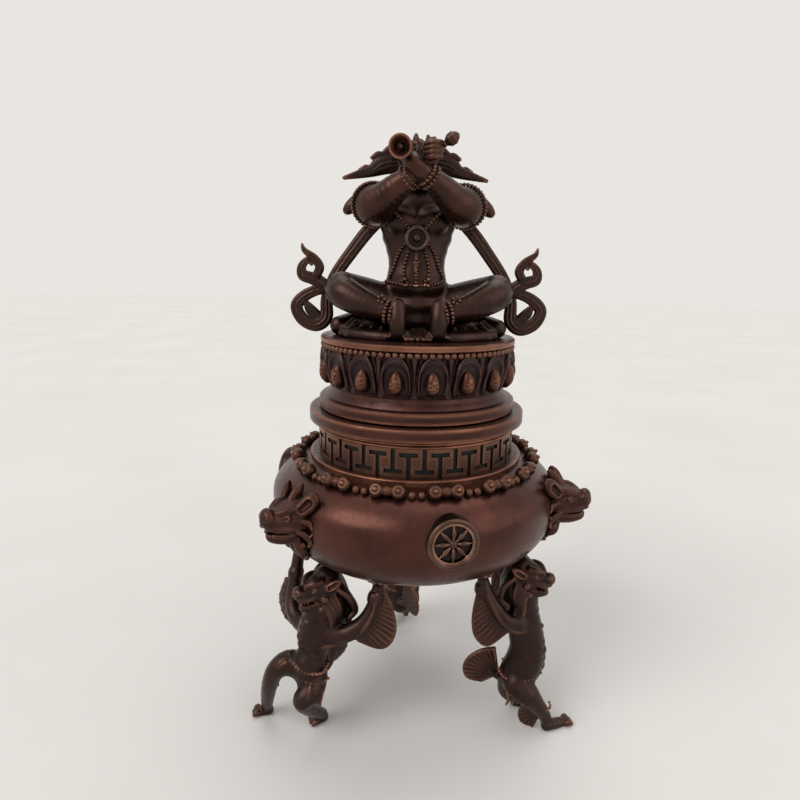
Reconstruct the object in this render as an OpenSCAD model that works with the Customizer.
// Tripod incense burner: a squat bowl on three upright lions, with a lift-off lotus lid
// that carries a seated figure. Millimetres, +Z up, origin on the bowl's axis at the table.
// Left and right are as seen from the front, which is -Y.

/* [Bowl] */
// Largest radius of the bowl
bowl_r = 50; // [48:0.5:52]
// Height of the bowl's widest line above the table
bowl_mid_z = 84; // [83:0.5:85]
// Height of the bowl's rounded underside, from its widest line down
bowl_low_h = 25.5; // [25:0.5:27]
// Height of the bowl's shoulder curve, from its widest line up
bowl_top_h = 17.2; // [16.5:0.1:17.5]
// Thickness of the cast wall
wall = 2.4; // [2:0.1:3]
// How far the bowl is turned under the lid, in degrees
bowl_turn = 13; // [-60:1:60]

/* [Neck] */
// Radius of the mouth inside the neck
mouth_r = 30.5; // [29:0.5:31]
// Outer radius of the neck behind the fret band
neck_r = 33.2; // [33:0.1:34]
// Radius of the rim flange that the lid rests on
flange_r = 36.6; // [35:0.2:38]
// Height of the flange's top face above the table
flange_z = 113.6; // [113:0.1:114]
// Thickness of the rim flange
flange_t = 4.1; // [3:0.1:5]
// Number of T pairs in the fret band
fret_count = 22; // [16:1:26]

/* [Lid] */
// Radius of the lid's foot ring
foot_ring_r = 33.7; // [33:0.1:35]
// Radius of the lid's top disc
disc_r = 33.1; // [32:0.1:34]
// Height of the lid's top face above the table
disc_z = 137.9; // [137:0.1:139]
// Running gap between the lid and the neck it sits in
seat_gap = 0.3; // [0.2:0.05:0.4]
// Number of large lotus petals
petal_count = 18; // [14:1:18]
// Number of beads under the disc's edge
bead_count = 92; // [60:1:92]
// Radius of a smoke vent in the top disc
vent_r = 2.2; // [1.6:0.1:2.6]

/* [Ornament] */
// Number of thunderbolts in the garland round the shoulder
garland_count = 15; // [12:1:15]
// Radius of the garland's centre line
garland_r = 41.4; // [41:0.1:42]
// Outer radius of a wheel emblem
wheel_r = 7.8; // [6:0.1:9]
// Radius of a rivet's shank
rivet_r = 1; // [0.8:0.1:1.2]

/* [Fineness] */
// Sides of the sculpted limbs and heads
limb_sides = 8; // [8:2:12]

/* [Hidden] */
bronze = [0.36, 0.2, 0.15];
dark_bronze = [0.22, 0.15, 0.12];
bright_copper = [0.55, 0.32, 0.2];
$fn = 96;
ledge_r = 37.1;
ledge_z = 98;
fret_t = 0.8;
fret_high_z = 106.9;
lid_z = flange_z + seat_gap;
ring_r = mouth_r - seat_gap;
screw_r = 2;
third_turns = [0, 120, 240];
beast_turn = -60;
lion_turn = -66;

// ---- Shared shapes ----

// Depth of a bulging curve of height h at radius r: a rounded-off ellipse of the given fullness
function bulge(r, h, fullness) = h * pow(1 - pow(r / bowl_r, fullness), 1 / fullness);
function shoulder_z(r) = bowl_mid_z + bulge(r, bowl_top_h, 2.15);
function underside_z(r) = bowl_mid_z - bulge(r, bowl_low_h, 2.6);
// Slope of the underside at radius r, in degrees
function underside_slope(r) = atan(underside_z(r + 0.5) - underside_z(r - 0.5));
arc_steps = 16;
function unit(v) = v / norm(v);
function xyz(p) = [p[0], p[1], p[2]];

// Turns a child built facing +X so that it faces the given turn, counted from the front (-Y) to +X
module facing(turn) rotate([0, 0, turn - 90]) children();
module on_bowl(turn) facing(bowl_turn + turn) children();

// A ball [x, y, z, r], or a ball with three radii [x, y, z, [rx, ry, rz]]
module ball(p) translate(xyz(p)) scale(is_list(p[3]) ? p[3] : [p[3], p[3], p[3]]) sphere(1, $fn = limb_sides);
// A limb through a list of balls, each joined to the next
module limb(balls) for (i = [0 : len(balls) - 2]) hull() {
    ball(balls[i]);
    ball(balls[i + 1]);
}

// A curve through points a, b, c, d between b and c
function between(a, b, c, d, t) =
    0.5 * (2 * b + (c - a) * t + (2 * a - 5 * b + 4 * c - d) * t * t + (3 * b - a - 3 * c + d) * t * t * t);
function smooth(p, steps) = concat([for (i = [0 : len(p) - 2], j = [0 : steps - 1])
    between(p[max(i - 1, 0)], p[i], p[i + 1], p[min(i + 2, len(p) - 1)], j / steps)], [p[len(p) - 1]]);
// A rounded end: two shrinking sections beyond p, along direction d
function cap(p, d, grow) = let (m = min(p[3], p[4]), c = xyz(p) + d * m * grow)
    [c[0], c[1], c[2], p[3] * sqrt(1 - grow * grow), p[4] * sqrt(1 - grow * grow)];
// A body through oval sections [x, y, z, half-width along side, half-width across it]
module loft(sections, side, steps = 1, sides = limb_sides) {
    s = smooth(sections, steps);
    last = len(s) - 1;
    start_d = unit(xyz(s[0]) - xyz(s[1]));
    end_d = unit(xyz(s[last]) - xyz(s[last - 1]));
    p = concat([cap(s[0], start_d, 0.94), cap(s[0], start_d, 0.6)], s,
        [cap(s[last], end_d, 0.6), cap(s[last], end_d, 0.94)]);
    n = len(p);
    points = [for (i = [0 : n - 1])
        let (d = unit(xyz(p[min(i + 1, n - 1)]) - xyz(p[max(i - 1, 0)])), u = unit(side - (side * d) * d), v = cross(d, u))
        for (k = [0 : sides - 1]) xyz(p[i]) + p[i][3] * cos(360 * k / sides) * u + p[i][4] * sin(360 * k / sides) * v];
    polyhedron(points, concat([[for (k = [0 : sides - 1]) k]],
        [for (i = [0 : n - 2], k = [0 : sides - 1]) let (l = (k + 1) % sides)
            [i * sides + k, (i + 1) * sides + k, (i + 1) * sides + l, i * sides + l]],
        [[for (k = [sides - 1 : -1 : 0]) (n - 1) * sides + k]]));
}
across = [0, 1, 0];
upward = [0, 0, 1];

// ---- Bowl ----

module bowl_solid() rotate_extrude() polygon(concat(
    [for (i = [0 : arc_steps]) let (r = bowl_r * sin(90 * i / arc_steps)) [r, underside_z(r)]],
    [for (i = [1 : arc_steps]) let (r = bowl_r - (bowl_r - ledge_r) * pow(i / arc_steps, 2)) [r, shoulder_z(r)]],
    [[0, shoulder_z(ledge_r)]]));
module bowl() color(bronze) difference() {
    bowl_solid();
    rotate_extrude() polygon(concat(
        [for (i = [0 : arc_steps]) let (r = bowl_r * sin(90 * i / arc_steps))
            [r * (1 - wall / bowl_r), underside_z(r) + wall * (1 - i / arc_steps)]],
        [for (i = [1 : arc_steps]) let (r = bowl_r - (bowl_r - ledge_r) * pow(i / arc_steps, 2))
            [r * (1 - wall / bowl_r), shoulder_z(r) - wall * i / arc_steps]],
        [[0, shoulder_z(ledge_r) - wall]]));
    translate([0, 0, bowl_mid_z]) cylinder(h = bowl_mid_z, r = neck_r);
    on_each_rivet() cylinder(h = 4 * wall, r = rivet_r, center = true);
}

// Every rivet that goes through the bowl, with +Z along the rivet from the inside out
module on_each_rivet() {
    on_paw_rivets() children();
    on_head_rivets() children();
    on_wheel_rivets() children();
}
module on_paw_rivets() for (i = [0 : 2], paw = lion_paws[i]) on_bowl(lion_turn + third_turns[i])
    rotate([0, 0, atan2(paw[1], paw[0])]) translate([norm(paw), 0, underside_z(norm(paw))])
        rotate([0, 180 - underside_slope(norm(paw)), 0]) translate([0, 0, -wall / 2]) children();
module on_head_rivets() for (turn = third_turns) on_bowl(beast_turn + turn)
    translate([bowl_r - wall / 2, 0, bowl_mid_z]) rotate([0, 90, 0]) children();
module on_wheel_rivets() for (turn = third_turns) on_bowl(turn)
    translate([bowl_r - wall / 2, 0, bowl_mid_z]) rotate([0, 90, 0]) children();
// A rivet with its domed head against the inside of the wall
module rivet(reach) {
    translate([0, 0, -wall / 2 - 1]) intersection() {
        sphere(rivet_r * 2);
        translate([0, 0, -rivet_r * 2]) cylinder(h = rivet_r * 2, r = rivet_r * 3);
    }
    translate([0, 0, -wall / 2 - 1]) cylinder(h = reach + 1, r = rivet_r);
}
module paw_rivets() color(bronze) on_paw_rivets() rivet(wall + 2.4);
module head_rivets() color(bronze) on_head_rivets() rivet(wall + 3);
module wheel_rivets() color(bronze) on_wheel_rivets() rivet(wall + 0.6);

// The neck with its rim flange above and its flat ledge below, let into the bowl's opening
module neck_solid() {
    low_z = shoulder_z(ledge_r);
    rotate_extrude() polygon([[0, low_z - 2 * wall], [neck_r, low_z - 2 * wall],
        [neck_r, low_z], [ledge_r, low_z], [ledge_r, ledge_z - 0.3],
        [ledge_r - 0.3, ledge_z], [neck_r, ledge_z], [neck_r, fret_high_z],
        [neck_r + fret_t, fret_high_z], [neck_r + fret_t, fret_high_z + 1], [neck_r + fret_t + 0.3, flange_z - flange_t - 0.5],
        [flange_r - 0.4, flange_z - flange_t], [flange_r, flange_z - flange_t + 0.4],
        [flange_r, flange_z - 0.4], [flange_r - 0.4, flange_z], [0, flange_z]]);
}
module neck_collar() color(bronze) difference() {
    neck_solid();
    cylinder(h = 2 * bowl_mid_z, r = mouth_r);
}

// A pierced sleeve round the neck: T slots that stand and hang by turns leave one meandering ribbon
module fret_band() color(dark_bronze) {
    pitch = 360 / fret_count;
    slot = 1.4;
    bar = 5.8;
    rim = 1.1;
    height = fret_high_z - ledge_z;
    difference() {
        translate([0, 0, ledge_z]) difference() {
            cylinder(h = height, r = neck_r + fret_t);
            translate([0, 0, -1]) cylinder(h = height + 2, r = neck_r);
        }
        for (i = [0 : fret_count - 1], up = [0, 1]) on_bowl((i + up / 2) * pitch)
            translate([neck_r - 1, 0, (ledge_z + fret_high_z) / 2]) mirror([0, 0, up]) {
                translate([0, -bar / 2, height / 2 - rim - slot]) cube([3, bar, slot]);
                translate([0, -slot / 2, -height / 2 - 1]) cube([3, slot, height - rim]);
            }
    }
}

// ---- Garland and wheels ----

knob_r = 2.5;
knob_gap = 3.3;
module on_garland(turn, lift) on_bowl(turn) translate([garland_r, 0, shoulder_z(garland_r) + lift]) children();
// Thunderbolts: two knobs on a waist of three rings, laid along the shoulder
module garland_thunderbolts() color(bright_copper) difference() {
    for (i = [0 : garland_count - 1]) on_garland(i * 360 / garland_count, 1.9) {
        for (side = [-1, 1]) translate([0, side * knob_gap, 0]) sphere(knob_r, $fn = 32);
        rotate([90, 0, 0]) cylinder(h = 2 * knob_gap, r = 0.9, center = true);
        for (j = [-1, 0, 1]) translate([0, j * 0.75, 0]) rotate([90, 0, 0]) cylinder(h = 0.5, r = 1.5, center = true);
    }
    bowl_solid();
}
module garland_beads() color(bright_copper) difference() {
    for (i = [0 : garland_count - 1], side = [-1, 1])
        on_garland((i + 0.5) * 360 / garland_count + side * 2, 0.9) sphere(1.3, $fn = 32);
    bowl_solid();
}

// An eight-spoked wheel: a rolled rim, eight lance-shaped spokes and a round hub, facing +X
module wheel() difference() {
    rim_w = 1.6;
    plate_t = 5.5;
    translate([bowl_r - plate_t, 0, bowl_mid_z]) rotate([0, 90, 0]) {
        cylinder(h = plate_t + 0.5, r = wheel_r - rim_w / 4);
        translate([0, 0, plate_t + 0.8]) rotate_extrude() translate([wheel_r - rim_w / 2, 0]) circle(rim_w / 2, $fn = 24);
        translate([0, 0, plate_t + 0.5]) rotate_extrude() translate([wheel_r - 1.3 * rim_w, 0]) circle(rim_w / 4, $fn = 24);
        for (i = [0 : 7]) rotate([0, 0, i * 45]) translate([0, 0, plate_t]) linear_extrude(1.3)
            polygon([for (j = [0 : 11]) let (t = j * 30) [3.3 + 2.1 * cos(t), 1.05 * sin(t) * (1 + 0.2 * cos(t))]]);
        translate([0, 0, plate_t + 0.5]) sphere(1.5, $fn = 32);
    }
    bowl_solid();
}
module wheel_front() color(bronze) on_bowl(0) wheel();
module wheel_right_rear() color(bronze) on_bowl(120) wheel();
module wheel_left_rear() color(bronze) on_bowl(240) wheel();

// ---- Beast heads ----

// A beast's head that looks outwards from the bowl, with an acanthus leaf behind and below it
module beast_head() difference() {
    translate([0, 0, bowl_mid_z]) {
        loft([[47, 0, 0.4, 6.2, 7.2], [50.5, 0, 0.6, 5.8, 6.4], [54, 0, 0.6, 5, 5], [57, 0, 1.2, 4, 3.8], [59, 0, 2, 3, 2.8]], across);
        loft([[49.6, 0, -4, 4.8, 2.6], [54.6, 0, -3.8, 4.2, 2.4], [57.6, 0, -3.2, 3.2, 2]], across);
        limb([[57.6, 0, 4, [2, 2.8, 1.6]], [60.2, 0, 3, [1.8, 2.3, 1.9]]]);
        for (side = [-1, 1]) {
            limb([[50.6, side * 5, 4, [2.2, 1.6, 2.2]], [47.8, side * 7, 6.2, [2.8, 1.1, 2.4]]]);
            limb([[54.4, side * 2.8, 4.2, 1.6], [56.6, side * 2.6, 3.2, 1.2]]);
        }
        limb([[50, 0, 6, [2, 1.8, 1.6]], [47.8, 0, 9.4, [2, 1, 1.8]]]);
        loft([[50, 0, -6, 4.8, 2.2], [49.4, 0, -9.4, 4, 1.9], [47.2, 0, -12.4, 2.6, 1.7], [45, 0, -14.8, 1.3, 1.2]], across);
    }
    bowl_solid();
}
module beast_head_left() color(bronze) on_bowl(beast_turn) beast_head();
module beast_head_right() color(bronze) on_bowl(beast_turn + 120) beast_head();
module beast_head_rear() color(bronze) on_bowl(beast_turn + 240) beast_head();

// ---- Lions ----

// Places of the two forepaws under the bowl, for the left, right and rear lion
lion_paws = [[[36.8, -19], [23.4, 12.6]], [[29.6, -9.6], [29.6, 9.6]], [[29.6, -9.6], [29.6, 9.6]]];

// Trunk sections from the rump to the neck
upright_trunk = [[40, 0, 12.5, 5, 5.2], [41.6, 0, 18, 6.4, 6.6], [44.2, 0, 24.5, 6.4, 7.2], [44.8, 0, 31, 6, 6.6],
    [43.4, 0, 38, 7, 5.2], [42.4, 0, 44, 6, 5], [42.6, 0, 50, 5, 4.6]];
lunging_trunk = [[43.4, 1, 22.5, 5, 5], [43.6, 0, 27.5, 5.6, 5.6], [41.4, 0, 33, 5, 4.8], [40.6, 0, 39, 7, 5.8],
    [39.4, 0, 44, 6.4, 5.4], [38.6, 0, 48, 5, 4.8]];

// A trunk and a maned head; head_at is the centre of the skull
module lion_body(trunk, head_at) {
    loft(trunk, across, 2, 10);
    translate(head_at) {
        loft([[-4, 0, -0.6, 4.6, 4.8], [0, 0, 0, 4.9, 5], [3.4, 0, -0.4, 3.8, 3.8], [5.6, 0, -0.6, 2.9, 2.4], [7.6, 0, 0, 2.4, 2]], across);
        loft([[0, 0, -5, 3, 2], [3.6, 0, -5.2, 2.4, 1.5], [6, 0, -5, 1.8, 1.1]], across);
        loft([[-2, 0, 4.4, 3.4, 1.6], [-5.6, 0, 0.6, 5.4, 2.6], [-5.8, 0, -6, 6, 2.6], [-4.8, 0, -12, 5, 2.4], [-3.6, 0, -16, 3, 1.6]], across);
        for (side = [-1, 1]) {
            limb([[2, side * 2.4, 3.4, 1.5], [4.4, side * 1.6, 2.8, 0.9]]);
            limb([[-1, side * 4.8, 1.4, [1.4, 1, 1.8]], [-2.4, side * 5.6, 3.2, 0.8]]);
            limb([[-0.8, side * 4.4, -3, [2.8, 1.4, 3]], [-0.4, side * 5, -12, [1.4, 1, 1.6]]]);
        }
    }
}

// A raised foreleg: sections from the shoulder to the wrist, and a paw spread under the bowl
module foreleg(path, paw) {
    paw_z = underside_z(norm(paw));
    loft(path, across);
    hull() {
        translate([paw[0], paw[1], paw_z - 3.4]) ball([0, 0, 0, [2.2, 2.2, 1.6]]);
        translate([paw[0], paw[1], paw_z - 0.6]) ball([0, 0, 0, [3, 3, 1.8]]);
    }
}
// A thin leaf-shaped web stretched over the points of its rim
module web(rim) hull() for (p = rim) ball([p[0], p[1], p[2], 1.1]);
// A hind leg from the hip by the knee and the ankle to the toes
module hindleg(path, heel, toe) {
    loft(path, across);
    hull() {
        ball([heel[0], heel[1], 1.3, [2.1, 2.1, 2]]);
        ball([path[len(path) - 1][0], path[len(path) - 1][1], 3, 1.6]);
    }
    hull() {
        ball([heel[0], heel[1], 1.3, [2, 2, 2.2]]);
        translate([toe[0], toe[1], 1]) rotate([0, 0, atan2(toe[1] - heel[1], toe[0] - heel[0])])
            ball([0, 0, 0, [1.7, 2.9, 1.6]]);
    }
}
// A tail that turns up behind the rump and opens into a broad fan
module tail(root) {
    loft([[root[0] + 2, root[1] + 0.4, root[2] - 0.6, 1.9, 1.9], [root[0] - 1, root[1] - 0.4, root[2], 1.7, 1.7],
        [root[0] - 4, root[1] - 2, root[2] + 2, 1.5, 1.5]], across);
    translate(root) web([[-1, 0, 0.6], [-2.6, -2.2, 11], [-6.6, -4, 9.6], [-10, -5.4, 6.8], [-11.6, -6, 3], [-10.4, -5.4, -0.6], [-6, -3.8, -1.4]]);
}

module left_lion_body() on_bowl(lion_turn) lion_body(lunging_trunk, [38.8, 0, 54.6]);
module right_lion_body() on_bowl(lion_turn + 120) lion_body(upright_trunk, [43.4, 0, 57.4]);
module rear_lion_body() on_bowl(lion_turn + 240) lion_body(upright_trunk, [43.4, 0, 57.4]);

// Forelegs a are on the -Y side of a lion that faces +X, and forelegs b on its +Y side
lunging_a = [[40.6, -5, 38, 3.2, 3.6], [41.6, -11, 38, 2.8, 3], [41.4, -16, 41.6, 2.5, 2.8], [39.2, -18.2, 50, 2.4, 2.4], [37.2, -18.8, 60, 2, 2]];
lunging_b = [[38, 4, 39.4, 3.2, 3.4], [33.6, 8, 40, 2.6, 3], [29, 11.4, 44, 2.4, 2.6], [25.6, 12.8, 50, 2.2, 2.4], [23.4, 12.6, 57, 2, 2]];
upright_a = [[42, -4.6, 41.5, 3.2, 3.4], [38.4, -7.2, 43, 2.8, 3], [35.2, -8.8, 47.2, 2.4, 2.6], [32.4, -9.6, 52, 2.2, 2.4], [30.2, -9.6, 57, 2, 2]];
module left_foreleg_a() {
    foreleg(lunging_a, lion_paws[0][0]);
    limb([[40.9, -16.4, 45.6, 2.9], [40.5, -16.9, 47.2, 2.9]]);
}
module left_foreleg_b() {
    foreleg(lunging_b, lion_paws[0][1]);
    web([[23, 14, 54], [21.6, 15.2, 50], [20.6, 16.4, 44.4], [20.8, 16.6, 39.6], [22.8, 16, 36.4], [25.6, 14.6, 35.6], [31, 10.4, 38.6]]);
}
module upright_foreleg_a() {
    foreleg(upright_a, lion_paws[1][0]);
    web([[29.2, -10.2, 54], [28.6, -11.2, 48], [28.6, -12, 42], [29.8, -11.6, 37], [32.6, -10.2, 34], [36.2, -8.6, 36.4], [38.6, -7.6, 40]]);
}
module upright_foreleg_b() mirror([0, 1, 0]) upright_foreleg_a();

module left_hindlegs() {
    hindleg([[44.5, -2, 26, 4.6, 4.8], [49, -4.6, 27.5, 4.2, 4.2], [52.6, -7, 24.5, 3.2, 3.4], [53.6, -10, 17.5, 2.8, 2.8], [53, -14, 9, 2.3, 2.3], [52, -17, 4, 2, 2]],
        [51.4, -17.4], [55.6, -19.8]);
    hindleg([[42.5, 1.5, 23, 4.8, 4.8], [44.6, 3.6, 20, 4.4, 4.4], [47.6, 3.6, 17.5, 3.4, 3.4], [44.6, 1.6, 12, 2.7, 2.7], [40.6, -0.6, 7, 2.2, 2.2], [37.6, -2.4, 3.6, 2, 2]],
        [36.8, -2.8], [41, -3.4]);
}
module upright_hindlegs() {
    hindleg([[42.5, -3.6, 18, 4.8, 5], [46.4, -4.4, 15, 4.2, 4.4], [49.8, -3.4, 11, 3, 3.2], [52.4, -1.6, 6.6, 2.4, 2.6], [53.6, -1.2, 3.8, 2.1, 2.1]],
        [53.6, -1], [60.4, 5.6]);
    hindleg([[41.5, 3.6, 17, 4.6, 4.6], [42.6, 5.2, 12.6, 3.8, 3.8], [41.6, 6.2, 8.5, 2.7, 2.7], [40.8, 6.6, 5, 2.1, 2.1], [40.6, 6.6, 3.4, 2, 2]],
        [40.4, 6.6], [45, 8.4]);
    web([[50.6, -3, 7], [45.4, -3.8, 9.6], [44.4, -3.4, 5.6], [45.4, -2.2, 2], [50, -1.6, 1.6]]);
}
module below_table() translate([-150, -150, -20]) cube([300, 300, 20]);

module lion_left_body() color(dark_bronze) difference() {
    left_lion_body();
    bowl_solid();
}
module lion_right_body() color(dark_bronze) difference() {
    right_lion_body();
    bowl_solid();
}
module lion_rear_body() color(dark_bronze) difference() {
    rear_lion_body();
    bowl_solid();
}
module lion_left_foreleg_a() color(dark_bronze) difference() {
    on_bowl(lion_turn) left_foreleg_a();
    left_lion_body();
    bowl_solid();
}
module lion_left_foreleg_b() color(dark_bronze) difference() {
    on_bowl(lion_turn) left_foreleg_b();
    left_lion_body();
    bowl_solid();
}
module lion_right_foreleg_a() color(dark_bronze) difference() {
    on_bowl(lion_turn + 120) upright_foreleg_a();
    right_lion_body();
    bowl_solid();
}
module lion_right_foreleg_b() color(dark_bronze) difference() {
    on_bowl(lion_turn + 120) upright_foreleg_b();
    right_lion_body();
    bowl_solid();
}
module lion_rear_foreleg_a() color(dark_bronze) difference() {
    on_bowl(lion_turn + 240) upright_foreleg_a();
    rear_lion_body();
    bowl_solid();
}
module lion_rear_foreleg_b() color(dark_bronze) difference() {
    on_bowl(lion_turn + 240) upright_foreleg_b();
    rear_lion_body();
    bowl_solid();
}
module lion_left_hindlegs() color(dark_bronze) difference() {
    on_bowl(lion_turn) left_hindlegs();
    left_lion_body();
    below_table();
}
module lion_right_hindlegs() color(dark_bronze) difference() {
    on_bowl(lion_turn + 120) upright_hindlegs();
    right_lion_body();
    below_table();
}
module lion_rear_hindlegs() color(dark_bronze) difference() {
    on_bowl(lion_turn + 240) upright_hindlegs();
    rear_lion_body();
    below_table();
}
module lion_left_tail() color(dark_bronze) difference() {
    on_bowl(lion_turn) tail([37.6, 1, 25]);
    left_lion_body();
    on_bowl(lion_turn) left_hindlegs();
}
module lion_right_tail() color(dark_bronze) difference() {
    on_bowl(lion_turn + 120) tail([35.6, 0.6, 15.6]);
    right_lion_body();
    on_bowl(lion_turn + 120) upright_hindlegs();
}
module lion_rear_tail() color(dark_bronze) difference() {
    on_bowl(lion_turn + 240) tail([35.6, 0.6, 15.6]);
    rear_lion_body();
    on_bowl(lion_turn + 240) upright_hindlegs();
}

// ---- Lid ----

// Outer side of the lotus drum, as [radius, height above the lid's foot]
drum = [[30.2, 8.4], [30.4, 12], [31.2, 16], [31.4, 19], [31.3, 20.6]];
module lid_shell() color(bronze) difference() {
    rotate_extrude() polygon(concat(
        [[ring_r, lid_z], [foot_ring_r - 0.3, lid_z], [foot_ring_r, lid_z + 0.3], [foot_ring_r, lid_z + 3.2],
        [foot_ring_r - 0.6, lid_z + 3.8], [foot_ring_r - 2.2, lid_z + 4.2], [31, lid_z + 5],
        [30.2, lid_z + 6], [29.9, lid_z + 7.2]],
        [for (p = drum) [p[0], lid_z + p[1]]],
        [[31.3, disc_z - 1.9], [disc_r - 0.3, disc_z - 1.9], [disc_r, disc_z - 1.6], [disc_r, disc_z - 0.4],
        [disc_r - 0.4, disc_z], [0, disc_z], [0, disc_z - wall], [28.6, disc_z - wall],
        [28.6, lid_z + 16], [27.6, lid_z + 11], [27.4, lid_z + 6], [ring_r, lid_z + 3]]));
    for (i = [-2 : 2]) facing(180 + i * 24) translate([27, 0, disc_z - wall - 1]) cylinder(h = wall + 2, r = vent_r);
    translate([0, 0, disc_z - wall - 1]) cylinder(h = wall + 2, r = screw_r);
}
// The plain ring soldered inside the lid that drops into the mouth and centres it
module lid_locating_ring() color(dark_bronze) translate([0, 0, lid_z - 5]) difference() {
    cylinder(h = 8, r = ring_r);
    translate([0, 0, -1]) cylinder(h = 10, r = ring_r - 2);
}
// A bulging band round the drum, between two swells
module petal_band(inner, outer) {
    rise = [for (p = drum) sin(180 * (p[1] - drum[0][1] + 1.2) / 15.6)];
    rotate_extrude() polygon(concat(
        [for (i = [0 : len(drum) - 1]) [drum[i][0] + inner * rise[i], lid_z + drum[i][1]]],
        [for (i = [len(drum) - 1 : -1 : 0]) [drum[i][0] + outer * rise[i], lid_z + drum[i][1]]]));
}
// A round-headed arch that cuts a petal out of the band
module arch(width, top) translate([28, 0, 0]) rotate([90, 0, 90]) linear_extrude(9) {
    polygon([[-width * 0.36, lid_z], [width * 0.36, lid_z], [width / 2, top - width / 2], [-width / 2, top - width / 2]]);
    translate([0, top - width / 2]) circle(width / 2, $fn = 32);
}
module each_petal() for (i = [0 : petal_count - 1]) facing(8.6 + i * 360 / petal_count) children();
module lotus_petals() color(dark_bronze) intersection() {
    petal_band(0, 1.9);
    each_petal() arch(9, lid_z + 19.6);
}
module petal_bosses() color(bright_copper) intersection() {
    petal_band(1.9, 3);
    each_petal() arch(4.8, lid_z + 15.4);
}
module lid_beads() color(bright_copper) difference() {
    for (i = [0 : bead_count - 1]) facing(i * 360 / bead_count) translate([32.1, 0, disc_z - 2.95]) sphere(1.04, $fn = 32);
    cylinder(h = disc_z, r = 31.3);
}

// The figure is fixed to the lid by one screw from below
module figure_screw() color(dark_bronze) translate([0, 0, disc_z - wall - 4]) cylinder(h = wall + 9, r = screw_r);
module figure_nut() color(dark_bronze) translate([0, 0, disc_z - wall - 3]) difference() {
    cylinder(h = 3, r = 4, $fn = 6);
    translate([0, 0, -1]) cylinder(h = 5, r = screw_r);
}

// ---- Seated figure, facing -Y, on the lid's top face ----

module on_lid() translate([0, 0, disc_z]) children();
module inside_lid() cylinder(h = disc_z, r = disc_r + 20);
module body_form() on_lid() {
    loft([[-1, 3, 4, 14, 10], [-1, 2, 10, 12.6, 9], [-1, 1, 16, 11, 8], [-1, 1.5, 24, 9.6, 6.8], [-1, 2, 31, 11, 7],
        [-1, 2.4, 38, 13, 6.8], [-1, 2.6, 43, 13, 5.4]], [1, 0, 0], 2, 10);
    for (side = [-1, 1]) {
        loft([[side * 8, 4, 9, 7, 7], [side * 17, -2, 12.4, 6.4, 6.4], [side * 24.6, -8.5, 15.4, 5.6, 5.8]], upward);
        loft([[side * 25.4, -9.8, 14.6, 4.6, 5], [side * 23.4, -12.4, 13.8, 5, 5.4], [side * 18, -15, 11.4, 4.4, 4.6],
            [side * 12, -17, 9.6, 3.2, 3.4], [side * 8, -18.4, 8.6, 2.6, 2.8]], upward);
        loft([[side * 7, -19, 9.4, 2.4, 2.6], [side * 6.8, -20, 5.6, 2.7, 2.4], [side * 6.8, -20.6, 2.2, 2.6, 1.6]], [1, 0, 0]);
        limb([[side * 12, 5, 2.6, [10, 7, 2.6]], [side * 21, 0, 2.4, [5, 7, 2.4]]]);
        limb([[side * 10, -14, 1.4, [9, 8, 1.4]], [side * 16, -10, 2.2, [8, 8, 2.2]]]);
        limb([[side * 3, -19, 0.9, [4, 6, 0.9]], [side * 9, -18, 0.9, [6, 5, 0.9]]]);
        limb([[side * 13, 2.6, 43, 3.4], [side * 15, 2.4, 44, 3.4]]);
    }
}
module figure_body() color(dark_bronze) difference() {
    body_form();
    inside_lid();
}
module head_form() on_lid() translate([-1, 0, 0]) {
    loft([[0, 3, 44, 3.4, 3.2], [0, 2.4, 48, 3, 3]], [1, 0, 0]);
    loft([[0, 0.6, 47.4, 2.6, 2.6], [0, 1.4, 50, 4.2, 4.8], [0, 2, 54, 4.9, 5.6], [0, 2.4, 57.4, 4.2, 4.8]], [1, 0, 0]);
    loft([[0, 3.4, 58, 4, 4], [0, 3.8, 60.4, 2.6, 2.6], [0, 3.8, 62.4, 2, 2]], [1, 0, 0]);
    limb([[0, 5.4, 54, [5, 3.4, 4]], [0, 6, 48, [5.4, 3, 4]], [0, 6.4, 42, [6, 2, 3]]]);
    for (side = [-1, 1]) {
        limb([[side * 4.9, 2.6, 52, [0.8, 1.2, 1.8]], [side * 5.2, 2.4, 48.6, [0.7, 0.9, 1]]]);
        limb([[side * 5, 6, 46, [2, 1.6, 4]], [side * 8, 5, 41.6, [2, 1.4, 3]]]);
    }
}
module figure_head() color(bronze) difference() {
    head_form();
    body_form();
}
module crown_form() on_lid() translate([-2, 2, 0]) {
    for (i = [-2 : 2]) facing(i * 38) limb([[5.4, 0, 56.4, [0.9, 2.2, 1.2]], [6.2, 0, 61.4, [0.8, 1.2, 2.6]]]);
    translate([0, 0, 54.8]) difference() {
        cylinder(h = 2, r = 6, $fn = 16);
        translate([0, 0, -1]) cylinder(h = 4, r = 4.4, $fn = 16);
    }
    for (side = [-1, 1]) loft([[side * 4.4, 1.2, 56.3, 1.3, 2.5], [side * 10, 0.6, 56, 1.1, 3], [side * 16, 0, 53.6, 1, 2.4], [side * 22.4, -1, 50.4, 0.8, 1]], across);
}
module figure_crown() color(bronze) difference() {
    crown_form();
    head_form();
}
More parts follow.
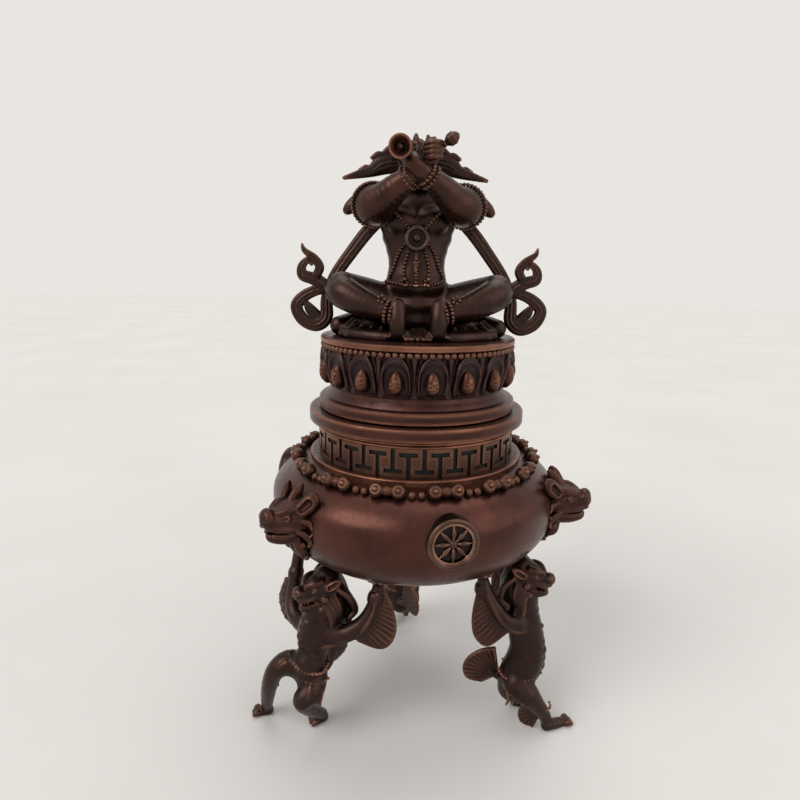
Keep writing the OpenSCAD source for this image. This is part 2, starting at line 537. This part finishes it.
// One arm, from the shoulder by the elbow to the fist in front of the face
module arm_form(side) on_lid() translate([-0.6, 0, 0]) {
    fist_y = side > 0 ? -14.4 : -15.6;
    loft([[side * 13.6, 2.6, 44, 4.8, 4.8], [side * 15.6, -1.4, 43, 6, 6], [side * 14.2, -6, 41.8, 6.6, 6.6],
        [side * 11.4, -9.6, 43, 5.4, 5.6], [side * 6.6, -13, 46.8, 4.2, 4.4], [side * 1, -15.8 - side, 50.6, 2.9, 3]], upward);
    loft([[side * 1, -15.8 - side, 50.6, 2.8, 2.8], [side * -2, -16.2 - side, 53, 2.6, 2.6], [side * -3.8, fist_y, 56, 2.7, 2.7]], across);
    limb([[side * -3.2, fist_y, 57, [3, 2, 1.8]], [side * -4.6, fist_y - 0.5, 55, [2, 1.6, 1.8]]]);
    limb([[side * 16.4, 2.4, 45.4, [3, 2.6, 2.8]], [side * 22, 1.6, 41.8, [2.6, 1.8, 2]]]);
}
module figure_left_arm() color(bronze) difference() {
    arm_form(-1);
    body_form();
    head_form();
    crown_form();
    vajra();
    bell();
}
module figure_right_arm() color(bronze) difference() {
    arm_form(1);
    arm_form(-1);
    body_form();
    head_form();
    crown_form();
    bell();
    vajra();
}
module figure_medallion() color(bright_copper) on_lid() translate([-1, -3.6, 31.6]) rotate([84, 0, 0]) {
    cylinder(h = 2.8, r = 4.2);
    translate([0, 0, 2.8]) rotate_extrude() translate([3.4, 0]) circle(0.8, $fn = 24);
    translate([0, 0, 2.8]) sphere(1.5, $fn = 24);
}
// One end of the flowing scarf: from the shoulder to the knee, then a hanging loop and a curled tip
module scarf(side) on_lid() {
    loft([[side * 13, 4, 39, 1.2, 2.2], [side * 18, 3.4, 34, 1.2, 2.4], [side * 23, 2.6, 27.5, 1.2, 2.2], [side * 28.5, 1.6, 19.5, 1.2, 2],
        [side * 31.4, 1, 12, 1.2, 2], [side * 31.6, 0, 5, 1.3, 2.4], [side * 35, -0.6, 2.2, 1.3, 2.2], [side * 39.6, -0.6, 4.4, 1.3, 2.2],
        [side * 41.6, -0.4, 9, 1.2, 2], [side * 38.6, 0, 12.6, 1.2, 2], [side * 33.6, 0.4, 14.6, 1.2, 2]], across);
    loft([[side * 32, 0.6, 15.4, 1.2, 2.2], [side * 35.8, 0, 18, 1.2, 2.2], [side * 39.4, 0, 18.4, 1.1, 1.6], [side * 39.8, 0, 21.4, 1, 1.2],
        [side * 38.4, 0, 24.6, 0.9, 0.9]], across);
}
module scarf_left() color(dark_bronze) difference() {
    scarf(-1);
    body_form();
    arm_form(-1);
    head_form();
    inside_lid();
}
module scarf_right() color(dark_bronze) difference() {
    scarf(1);
    body_form();
    arm_form(1);
    head_form();
    inside_lid();
}

// The hand bell, its mouth towards the front, in the fist on the left
module bell_place() translate([-5.9, -19.4, disc_z + 57]) rotate([96, 0, -8]) children();
module bell() color(bright_copper) bell_place() rotate_extrude() polygon([
    [0, -6], [0.8, -6], [1, -3.6], [1.9, -3.2], [2.5, -1.8], [2.7, 0.8], [3.1, 2.4], [3.5, 3.2], [2.9, 3.2],
    [2.5, 2.2], [2.1, 0.8], [1.8, -1.4], [0, -2.3]]);
module bell_clapper() color(dark_bronze) bell_place() {
    translate([0, 0, -2.3]) cylinder(h = 4, r = 0.45, $fn = 24);
    translate([0, 0, 1.6]) sphere(0.85, $fn = 24);
}
// The thunderbolt sceptre in the other fist: two pointed knobs on a ringed grip
module vajra() color(bright_copper) translate([5.6, -16, disc_z + 58]) rotate([0, 56, -8]) rotate_extrude() polygon([
    [0, -6.5], [1, -6], [2, -4.6], [1.9, -3], [0.9, -1.7], [1.1, -1.2], [0.8, -0.7], [1.2, 0], [0.8, 0.7],
    [1.1, 1.2], [0.9, 1.7], [1.9, 3], [2, 4.6], [1, 6], [0, 6.5]]);

bowl();
neck_collar();
fret_band();
garland_thunderbolts();
garland_beads();
wheel_front();
wheel_right_rear();
wheel_left_rear();
beast_head_left();
beast_head_right();
beast_head_rear();
lion_left_body();
lion_left_foreleg_a();
lion_left_foreleg_b();
lion_left_hindlegs();
lion_left_tail();
lion_right_body();
lion_right_foreleg_a();
lion_right_foreleg_b();
lion_right_hindlegs();
lion_right_tail();
lion_rear_body();
lion_rear_foreleg_a();
lion_rear_foreleg_b();
lion_rear_hindlegs();
lion_rear_tail();
paw_rivets();
head_rivets();
wheel_rivets();
lid_shell();
lid_locating_ring();
lotus_petals();
petal_bosses();
lid_beads();
figure_body();
figure_head();
figure_crown();
figure_left_arm();
figure_right_arm();
figure_medallion();
scarf_left();
scarf_right();
bell();
bell_clapper();
vajra();
figure_screw();
figure_nut();
